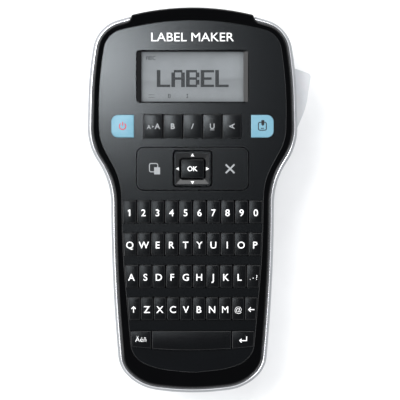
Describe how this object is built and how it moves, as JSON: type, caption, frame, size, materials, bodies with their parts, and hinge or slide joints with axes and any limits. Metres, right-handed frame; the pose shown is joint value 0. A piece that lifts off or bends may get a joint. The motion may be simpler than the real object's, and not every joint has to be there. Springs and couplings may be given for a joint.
{
  "type": "label maker",
  "caption": "Hand-held label maker with a waisted grip, framed display, four-way ring, letter keyboard, side cutter lever, and hinged cassette door.",
  "frame": {"origin": "on the flat back, on the centre line, between the cassette door and the battery cover", "axes": "+X towards the cutter lever (right, seen from the face), +Y from the grip up to the head, +Z out of the back towards the face; the flat back lies on z = 0 and the face leans 5 degrees"},
  "size_m": [0.1213, 0.2109, 0.048],
  "materials": {
    "black_frame": "glossy black moulded plastic",
    "glossy_panel": "piano-black plastic with a soft sheen",
    "bright_band": "bright satin metallic band",
    "silver_shell": "silver painted plastic, fine grain",
    "window": "clear acrylic",
    "display": "grey reflective liquid crystal",
    "rubber_mat": "grey silicone rubber",
    "circuit_board": "green solder mask on glass fibre",
    "black_keys": "glossy black key plastic",
    "menu_plate": "semi-gloss black plastic",
    "blue_keys": "light blue plastic",
    "lever_plastic": "satin light grey plastic",
    "steel": "bright plated steel",
    "grey_inner": "dark grey engineering plastic",
    "cassette_case": "light grey cassette plastic",
    "gear_plastic": "white acetal",
    "roller_rubber": "black platen rubber on a shaft",
    "motor_can": "nickel-plated steel can",
    "head_ceramic": "ceramic thermal head on an aluminium plate",
    "doors": "silver painted plastic",
    "cells": "wrapped dry cells with steel ends",
    "jack": "black moulded socket"
  },
  "bodies": {
    "case": {"front_housing": "black_frame", "face_panel": "glossy_panel", "trim_band": "bright_band", "rear_housing": "silver_shell", "display_window": "window", "display_module": "display", "key_mat": "rubber_mat", "main_board": "circuit_board", "lever_pin": "steel", "mechanism_chassis": "grey_inner", "tape_cassette": "cassette_case", "print_head": "head_ceramic", "drive_motor": "motor_can", "batteries": "cells", "battery_contacts": "steel", "case_screws": "steel", "power_jack": "jack"},
    "power_key": {"power_key": "blue_keys"},
    "print_key": {"print_key": "blue_keys"},
    "size_key": {"size_key": "black_keys"},
    "bold_key": {"bold_key": "black_keys"},
    "italic_key": {"italic_key": "black_keys"},
    "underline_key": {"underline_key": "black_keys"},
    "vertical_key": {"vertical_key": "black_keys"},
    "ok_key": {"ok_key": "black_keys"},
    "accent_key": {"accent_key": "black_keys"},
    "space_key": {"space_key": "black_keys"},
    "return_key": {"return_key": "black_keys"},
    "key_1": {"key_1": "black_keys"},
    "key_2": {"key_2": "black_keys"},
    "key_3": {"key_3": "black_keys"},
    "key_4": {"key_4": "black_keys"},
    "key_5": {"key_5": "black_keys"},
    "key_6": {"key_6": "black_keys"},
    "key_7": {"key_7": "black_keys"},
    "key_8": {"key_8": "black_keys"},
    "key_9": {"key_9": "black_keys"},
    "key_0": {"key_0": "black_keys"},
    "key_q": {"key_q": "black_keys"},
    "key_w": {"key_w": "black_keys"},
    "key_e": {"key_e": "black_keys"},
    "key_r": {"key_r": "black_keys"},
    "key_t": {"key_t": "black_keys"},
    "key_y": {"key_y": "black_keys"},
    "key_u": {"key_u": "black_keys"},
    "key_i": {"key_i": "black_keys"},
    "key_o": {"key_o": "black_keys"},
    "key_p": {"key_p": "black_keys"},
    "home_row_keys": {"home_row_keys": "black_keys"},
    "bottom_row_keys": {"bottom_row_keys": "black_keys"},
    "menu_rocker": {"menu_rocker": "menu_plate"},
    "nav_ring": {"nav_ring": "menu_plate"},
    "cassette_door": {"cassette_door": "doors"},
    "battery_cover": {"battery_cover": "doors"},
    "cutter_lever": {"cutter_lever": "lever_plastic"},
    "cutter_blade": {"cutter_blade": "steel"},
    "platen_roller": {"platen_roller": "roller_rubber"},
    "idler_gear": {"idler_gear": "gear_plastic"},
    "motor_pinion": {"motor_pinion": "gear_plastic"},
    "ribbon_spindle": {"ribbon_spindle": "gear_plastic"}
  },
  "joints": [
    {"name": "menu_rock", "type": "hinge", "parent": "case", "child": "menu_rocker", "pos_m": [0, 0.01705, 0.03748], "axis": [0, 0.9962, 0.0872], "range_deg": [-1.2, 1.2], "stiffness_Nm_per_rad": 0.4},
    {"name": "ring_tilt", "type": "hinge", "parent": "case", "child": "nav_ring", "pos_m": [0, 0.01705, 0.03748], "axis": [1, 0, 0], "range_deg": [-2.5, 2.5], "stiffness_Nm_per_rad": 0.1},
    {"name": "door_hinge", "type": "hinge", "parent": "case", "child": "cassette_door", "pos_m": [0, 0.0228, 0.0015], "axis": [-1, 0, 0], "range_deg": [0, 100]},
    {"name": "battery_cover_lift", "type": "slide", "parent": "case", "child": "battery_cover", "axis": [0, 0, -1], "range_m": [0, 0.02]},
    {"name": "cutter_lever_press", "type": "hinge", "parent": "case", "child": "cutter_lever", "pos_m": [0.05, 0.03512, 0.022], "axis": [0, -0.0872, 0.9962], "range_deg": [0, 10], "stiffness_Nm_per_rad": 0.6, "springref_deg": -2.86},
    {"name": "blade_slide", "type": "slide", "parent": "case", "child": "cutter_blade", "axis": [-1, 0, 0], "range_m": [0, 0.0061]},
    {"name": "idler_spin", "type": "hinge", "parent": "case", "child": "idler_gear", "pos_m": [0.02748, 0.06319, 0.0272], "axis": [0, 0, 1], "continuous": true},
    {"name": "platen_spin", "type": "hinge", "parent": "case", "child": "platen_roller", "pos_m": [0.014, 0.0745, 0.0272], "axis": [0, 0, 1], "continuous": true},
    {"name": "pinion_spin", "type": "hinge", "parent": "case", "child": "motor_pinion", "pos_m": [0.03548, 0.04933, 0.0272], "axis": [0, 0, 1], "continuous": true},
    {"name": "spindle_spin", "type": "hinge", "parent": "case", "child": "ribbon_spindle", "pos_m": [0.00979, 0.0508, 0.0272], "axis": [0, 0, 1], "continuous": true},
    {"name": "power_key_press", "type": "slide", "parent": "case", "child": "power_key", "axis": [0, 0.0872, -0.9962], "range_m": [0, 0.0009], "stiffness_N_per_m": 400, "springref_m": -0.0005},
    {"name": "print_key_press", "type": "slide", "parent": "case", "child": "print_key", "axis": [0, 0.0872, -0.9962], "range_m": [0, 0.0009], "stiffness_N_per_m": 400, "springref_m": -0.0005},
    {"name": "size_key_press", "type": "slide", "parent": "case", "child": "size_key", "axis": [0, 0.0872, -0.9962], "range_m": [0, 0.0009], "stiffness_N_per_m": 400, "springref_m": -0.0005},
    {"name": "bold_key_press", "type": "slide", "parent": "case", "child": "bold_key", "axis": [0, 0.0872, -0.9962], "range_m": [0, 0.0009], "stiffness_N_per_m": 400, "springref_m": -0.0005},
    {"name": "italic_key_press", "type": "slide", "parent": "case", "child": "italic_key", "axis": [0, 0.0872, -0.9962], "range_m": [0, 0.0009], "stiffness_N_per_m": 400, "springref_m": -0.0005},
    {"name": "underline_key_press", "type": "slide", "parent": "case", "child": "underline_key", "axis": [0, 0.0872, -0.9962], "range_m": [0, 0.0009], "stiffness_N_per_m": 400, "springref_m": -0.0005},
    {"name": "vertical_key_press", "type": "slide", "parent": "case", "child": "vertical_key", "axis": [0, 0.0872, -0.9962], "range_m": [0, 0.0009], "stiffness_N_per_m": 400, "springref_m": -0.0005},
    {"name": "ok_key_press", "type": "slide", "parent": "case", "child": "ok_key", "axis": [0, 0.0872, -0.9962], "range_m": [0, 0.0005], "stiffness_N_per_m": 400, "springref_m": -0.0005},
    {"name": "accent_key_press", "type": "slide", "parent": "case", "child": "accent_key", "axis": [0, 0.0872, -0.9962], "range_m": [0, 0.0009], "stiffness_N_per_m": 400, "springref_m": -0.0005},
    {"name": "space_key_press", "type": "slide", "parent": "case", "child": "space_key", "axis": [0, 0.0872, -0.9962], "range_m": [0, 0.0009], "stiffness_N_per_m": 400, "springref_m": -0.0005},
    {"name": "return_key_press", "type": "slide", "parent": "case", "child": "return_key", "axis": [0, 0.0872, -0.9962], "range_m": [0, 0.0009], "stiffness_N_per_m": 400, "springref_m": -0.0005},
    {"name": "key_1_press", "type": "slide", "parent": "case", "child": "key_1", "axis": [0, 0.0872, -0.9962], "range_m": [0, 0.0009], "stiffness_N_per_m": 400, "springref_m": -0.0005},
    {"name": "key_2_press", "type": "slide", "parent": "case", "child": "key_2", "axis": [0, 0.0872, -0.9962], "range_m": [0, 0.0009], "stiffness_N_per_m": 400, "springref_m": -0.0005},
    {"name": "key_3_press", "type": "slide", "parent": "case", "child": "key_3", "axis": [0, 0.0872, -0.9962], "range_m": [0, 0.0009], "stiffness_N_per_m": 400, "springref_m": -0.0005},
    {"name": "key_4_press", "type": "slide", "parent": "case", "child": "key_4", "axis": [0, 0.0872, -0.9962], "range_m": [0, 0.0009], "stiffness_N_per_m": 400, "springref_m": -0.0005},
    {"name": "key_5_press", "type": "slide", "parent": "case", "child": "key_5", "axis": [0, 0.0872, -0.9962], "range_m": [0, 0.0009], "stiffness_N_per_m": 400, "springref_m": -0.0005},
    {"name": "key_6_press", "type": "slide", "parent": "case", "child": "key_6", "axis": [0, 0.0872, -0.9962], "range_m": [0, 0.0009], "stiffness_N_per_m": 400, "springref_m": -0.0005},
    {"name": "key_7_press", "type": "slide", "parent": "case", "child": "key_7", "axis": [0, 0.0872, -0.9962], "range_m": [0, 0.0009], "stiffness_N_per_m": 400, "springref_m": -0.0005},
    {"name": "key_8_press", "type": "slide", "parent": "case", "child": "key_8", "axis": [0, 0.0872, -0.9962], "range_m": [0, 0.0009], "stiffness_N_per_m": 400, "springref_m": -0.0005},
    {"name": "key_9_press", "type": "slide", "parent": "case", "child": "key_9", "axis": [0, 0.0872, -0.9962], "range_m": [0, 0.0009], "stiffness_N_per_m": 400, "springref_m": -0.0005},
    {"name": "key_0_press", "type": "slide", "parent": "case", "child": "key_0", "axis": [0, 0.0872, -0.9962], "range_m": [0, 0.0009], "stiffness_N_per_m": 400, "springref_m": -0.0005},
    {"name": "key_q_press", "type": "slide", "parent": "case", "child": "key_q", "axis": [0, 0.0872, -0.9962], "range_m": [0, 0.0009], "stiffness_N_per_m": 400, "springref_m": -0.0005},
    {"name": "key_w_press", "type": "slide", "parent": "case", "child": "key_w", "axis": [0, 0.0872, -0.9962], "range_m": [0, 0.0009], "stiffness_N_per_m": 400, "springref_m": -0.0005},
    {"name": "key_e_press", "type": "slide", "parent": "case", "child": "key_e", "axis": [0, 0.0872, -0.9962], "range_m": [0, 0.0009], "stiffness_N_per_m": 400, "springref_m": -0.0005},
    {"name": "key_r_press", "type": "slide", "parent": "case", "child": "key_r", "axis": [0, 0.0872, -0.9962], "range_m": [0, 0.0009], "stiffness_N_per_m": 400, "springref_m": -0.0005},
    {"name": "key_t_press", "type": "slide", "parent": "case", "child": "key_t", "axis": [0, 0.0872, -0.9962], "range_m": [0, 0.0009], "stiffness_N_per_m": 400, "springref_m": -0.0005},
    {"name": "key_y_press", "type": "slide", "parent": "case", "child": "key_y", "axis": [0, 0.0872, -0.9962], "range_m": [0, 0.0009], "stiffness_N_per_m": 400, "springref_m": -0.0005},
    {"name": "key_u_press", "type": "slide", "parent": "case", "child": "key_u", "axis": [0, 0.0872, -0.9962], "range_m": [0, 0.0009], "stiffness_N_per_m": 400, "springref_m": -0.0005},
    {"name": "key_i_press", "type": "slide", "parent": "case", "child": "key_i", "axis": [0, 0.0872, -0.9962], "range_m": [0, 0.0009], "stiffness_N_per_m": 400, "springref_m": -0.0005},
    {"name": "key_o_press", "type": "slide", "parent": "case", "child": "key_o", "axis": [0, 0.0872, -0.9962], "range_m": [0, 0.0009], "stiffness_N_per_m": 400, "springref_m": -0.0005},
    {"name": "key_p_press", "type": "slide", "parent": "case", "child": "key_p", "axis": [0, 0.0872, -0.9962], "range_m": [0, 0.0009], "stiffness_N_per_m": 400, "springref_m": -0.0005},
    {"name": "home_row_keys_press", "type": "slide", "parent": "case", "child": "home_row_keys", "axis": [0, 0.0872, -0.9962], "range_m": [0, 0.0009], "stiffness_N_per_m": 400, "springref_m": -0.0005},
    {"name": "bottom_row_keys_press", "type": "slide", "parent": "case", "child": "bottom_row_keys", "axis": [0, 0.0872, -0.9962], "range_m": [0, 0.0009], "stiffness_N_per_m": 400, "springref_m": -0.0005}
  ],
  "couplings": [
    {"joint": "platen_spin", "follows": "idler_spin", "ratio": -1.75},
    {"joint": "pinion_spin", "follows": "idler_spin", "ratio": -2.3333},
    {"joint": "spindle_spin", "follows": "idler_spin", "ratio": -1.0769},
    {"joint": "blade_slide", "follows": "cutter_lever_press", "m_per_rad": 0.0345}
  ]
}
